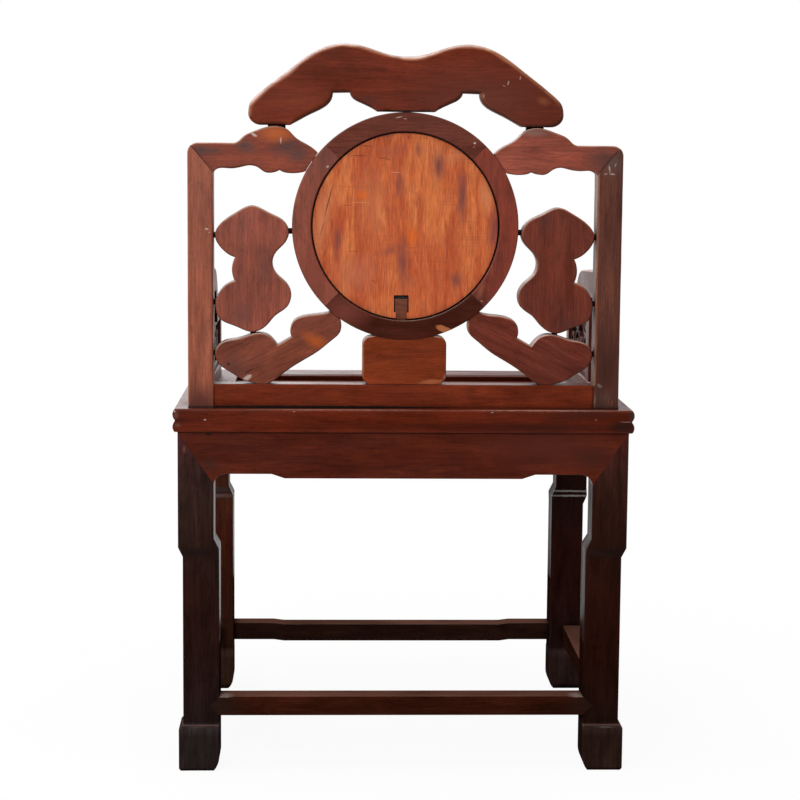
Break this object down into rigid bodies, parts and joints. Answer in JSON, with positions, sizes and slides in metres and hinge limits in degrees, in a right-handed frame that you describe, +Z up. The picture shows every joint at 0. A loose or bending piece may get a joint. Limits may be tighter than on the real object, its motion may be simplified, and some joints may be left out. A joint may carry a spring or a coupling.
{
  "type": "armchair",
  "caption": "Hardwood armchair in the late traditional Chinese style: round backed panel in a cloud-shaped openwork back, stepped arms, framed seat and hoof feet.",
  "frame": {"origin": "on the floor, under the middle of the chair's outer box", "axes": "+Z up, -Y the way the sitter looks, +Y the back of the chair, +X the sitter's left"},
  "size_m": [0.63, 0.51, 1.0009],
  "materials": {
    "frame_wood": "polished reddish-brown hardwood",
    "leg_wood": "polished dark brown-red hardwood",
    "panel_wood": "polished reddish-brown hardwood, worn smooth",
    "carved_wood": "carved and polished dark hardwood",
    "backing_wood": "bare orange-brown wood, planed",
    "dowel_wood": "dark oiled hardwood",
    "roundel": "polished veined marble"
  },
  "bodies": {
    "chair": {"apron_back": "frame_wood", "apron_front": "frame_wood", "apron_left": "frame_wood", "apron_right": "frame_wood", "arm_dowels": "dowel_wood", "arm_foot_rail_left": "frame_wood", "arm_foot_rail_right": "frame_wood", "arm_fret_left": "carved_wood", "arm_fret_right": "carved_wood", "arm_front_post_left": "frame_wood", "arm_front_post_right": "frame_wood", "arm_middle_post_left": "frame_wood", "arm_middle_post_right": "frame_wood", "arm_rail_left": "frame_wood", "arm_rail_right": "frame_wood", "back_board": "backing_wood", "back_dowels": "dowel_wood", "back_foot_rail": "frame_wood", "back_post_left": "frame_wood", "back_post_right": "frame_wood", "centre_block": "frame_wood", "crest_rail": "frame_wood", "leg_back_left": "leg_wood", "leg_back_right": "leg_wood", "leg_front_left": "leg_wood", "leg_front_right": "leg_wood", "lower_cloud_left": "frame_wood", "lower_cloud_right": "frame_wood", "ring_bottom": "frame_wood", "ring_left": "frame_wood", "ring_right": "frame_wood", "ring_top": "frame_wood", "seat_batten_left": "panel_wood", "seat_batten_right": "panel_wood", "seat_panel": "panel_wood", "seat_rail_back": "frame_wood", "seat_rail_front": "frame_wood", "seat_rail_left": "frame_wood", "seat_rail_right": "frame_wood", "side_cloud_left": "frame_wood", "side_cloud_right": "frame_wood", "stone_roundel": "roundel", "stretcher_back": "leg_wood", "stretcher_front": "leg_wood", "stretcher_left": "leg_wood", "stretcher_right": "leg_wood", "upper_cloud_left": "frame_wood", "upper_cloud_right": "frame_wood"},
    "bolt": {"board_bolt": "backing_wood"}
  },
  "joints": [
    {"name": "bolt_slide", "type": "slide", "parent": "chair", "child": "bolt", "axis": [0, 0, 1], "range_m": [0, 0.005]}
  ]
}
